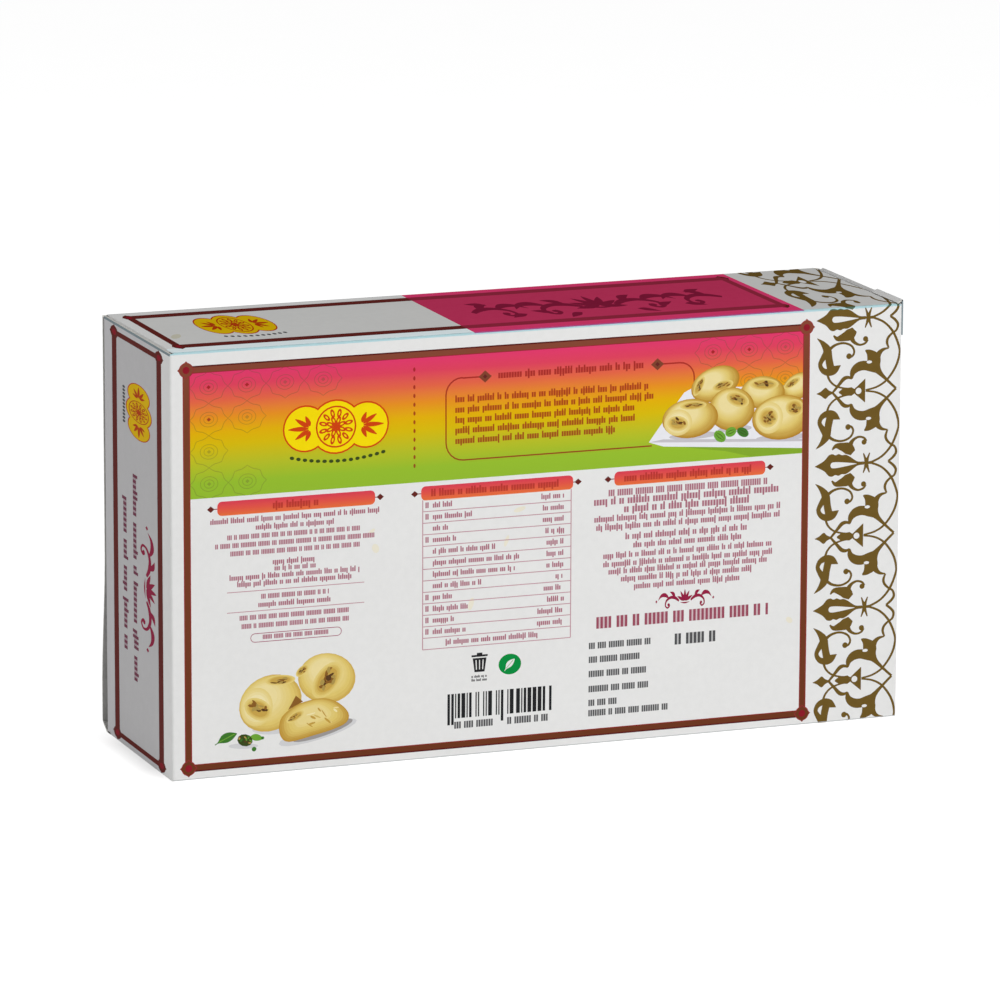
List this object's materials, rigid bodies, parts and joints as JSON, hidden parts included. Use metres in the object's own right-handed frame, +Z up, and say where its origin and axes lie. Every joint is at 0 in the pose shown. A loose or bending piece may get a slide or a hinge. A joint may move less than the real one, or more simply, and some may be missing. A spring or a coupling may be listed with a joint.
{
  "type": "shut printed carton of sweets",
  "caption": "Shut printed board carton for milk sweets, standing on its long narrow side, with tucked ends.",
  "frame": {"origin": "under the middle of the footprint, on the surface that the carton stands on", "axes": "+Z up; X along the carton's length; the back panel that the picture shows faces -Y, and -X is the end that the picture shows"},
  "size_m": [0.1904, 0.0562, 0.1061],
  "materials": {
    "printed_board": "white coated board, printed in colour, with a satin varnish"
  },
  "bodies": {
    "root": {"carton": "printed_board"}
  },
  "joints": []
}
